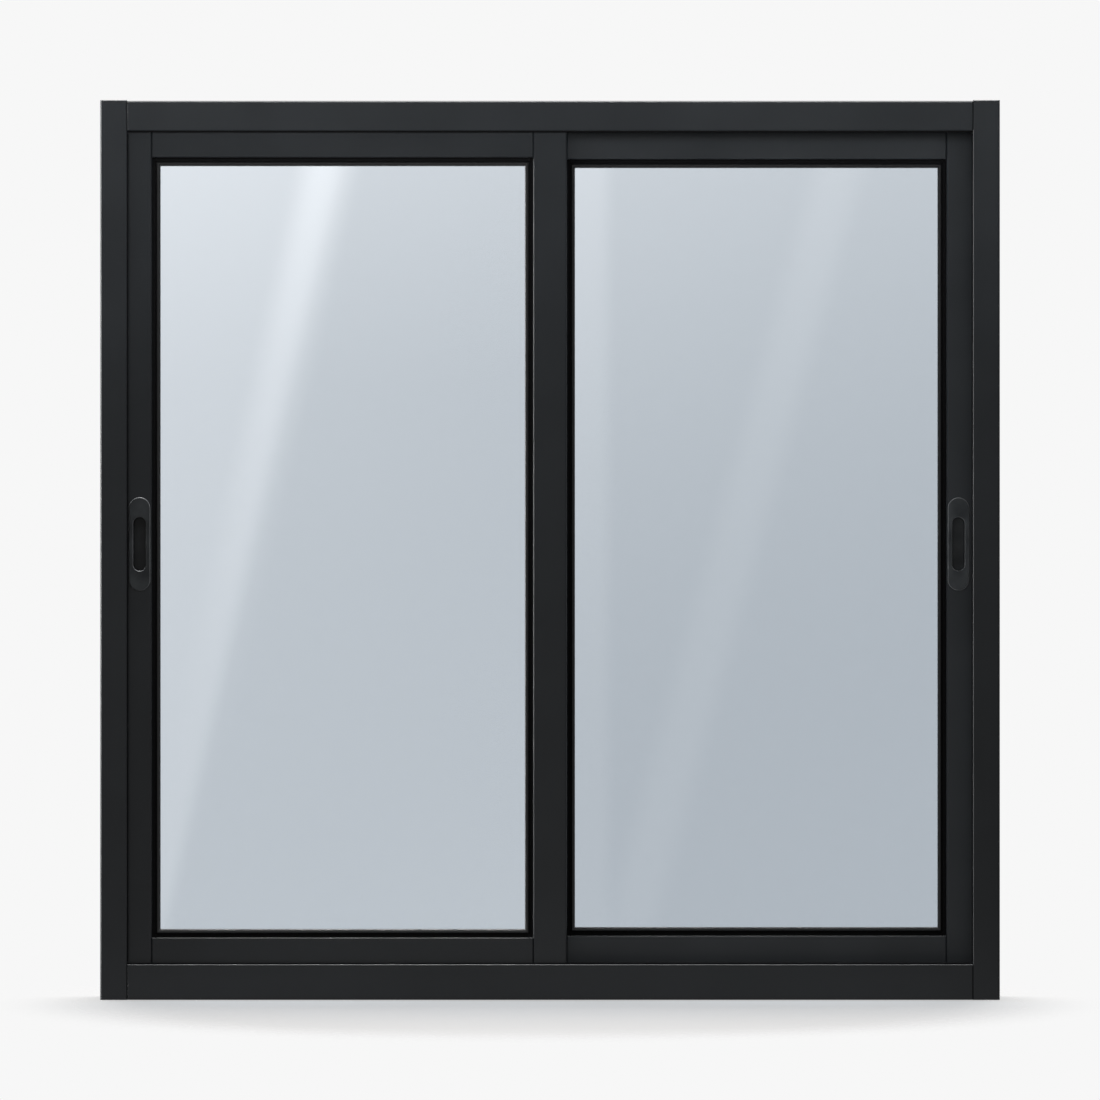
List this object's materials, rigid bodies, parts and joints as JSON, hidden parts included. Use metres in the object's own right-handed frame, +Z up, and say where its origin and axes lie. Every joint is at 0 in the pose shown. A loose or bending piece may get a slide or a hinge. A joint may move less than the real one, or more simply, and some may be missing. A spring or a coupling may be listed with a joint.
{
  "type": "horizontal sliding window",
  "caption": "Square black aluminium window on a two-track frame, with glazed sashes that slide past each other, flush finger pulls, interlocking stiles and rollers.",
  "frame": {"origin": "on the floor plane, under the middle of the sill", "axes": "+Z up, +X to the right along the tracks as seen from the room, -Y towards the room"},
  "size_m": [1.2, 0.095, 1.2],
  "materials": {
    "powder_coated_aluminium": "matte black powder coat on extruded aluminium",
    "stainless_track": "rolled stainless steel, drawn along its length",
    "tinted_glass": "lightly grey-blue float glass, polished",
    "gasket_rubber": "extruded black glazing rubber, satin",
    "coated_pull": "satin black coat on cast aluminium",
    "carriage_nylon": "moulded black nylon",
    "wheel_nylon": "turned natural nylon"
  },
  "bodies": {
    "frame": {"left_jamb": "powder_coated_aluminium", "right_jamb": "powder_coated_aluminium", "head": "powder_coated_aluminium", "sill": "powder_coated_aluminium", "front_track_rail": "stainless_track", "rear_track_rail": "stainless_track"},
    "left_sash": {"left_sash_handle_stile": "powder_coated_aluminium", "left_sash_meeting_stile": "powder_coated_aluminium", "left_sash_bottom_rail": "powder_coated_aluminium", "left_sash_top_rail": "powder_coated_aluminium", "left_sash_interlock": "powder_coated_aluminium", "left_sash_glass": "tinted_glass", "left_sash_front_gasket": "gasket_rubber", "left_sash_back_gasket": "gasket_rubber", "left_sash_pull": "coated_pull", "left_sash_roller_carriages": "carriage_nylon", "left_sash_roller_wheels": "wheel_nylon", "left_sash_guide_blocks": "carriage_nylon"},
    "right_sash": {"right_sash_handle_stile": "powder_coated_aluminium", "right_sash_meeting_stile": "powder_coated_aluminium", "right_sash_bottom_rail": "powder_coated_aluminium", "right_sash_top_rail": "powder_coated_aluminium", "right_sash_interlock": "powder_coated_aluminium", "right_sash_glass": "tinted_glass", "right_sash_front_gasket": "gasket_rubber", "right_sash_back_gasket": "gasket_rubber", "right_sash_pull": "coated_pull", "right_sash_roller_carriages": "carriage_nylon", "right_sash_roller_wheels": "wheel_nylon", "right_sash_guide_blocks": "carriage_nylon"}
  },
  "joints": [
    {"name": "left_sash_slide", "type": "slide", "parent": "frame", "child": "left_sash", "axis": [1, 0, 0], "range_m": [0, 0.554]},
    {"name": "right_sash_slide", "type": "slide", "parent": "frame", "child": "right_sash", "axis": [-1, 0, 0], "range_m": [0, 0.554]}
  ]
}
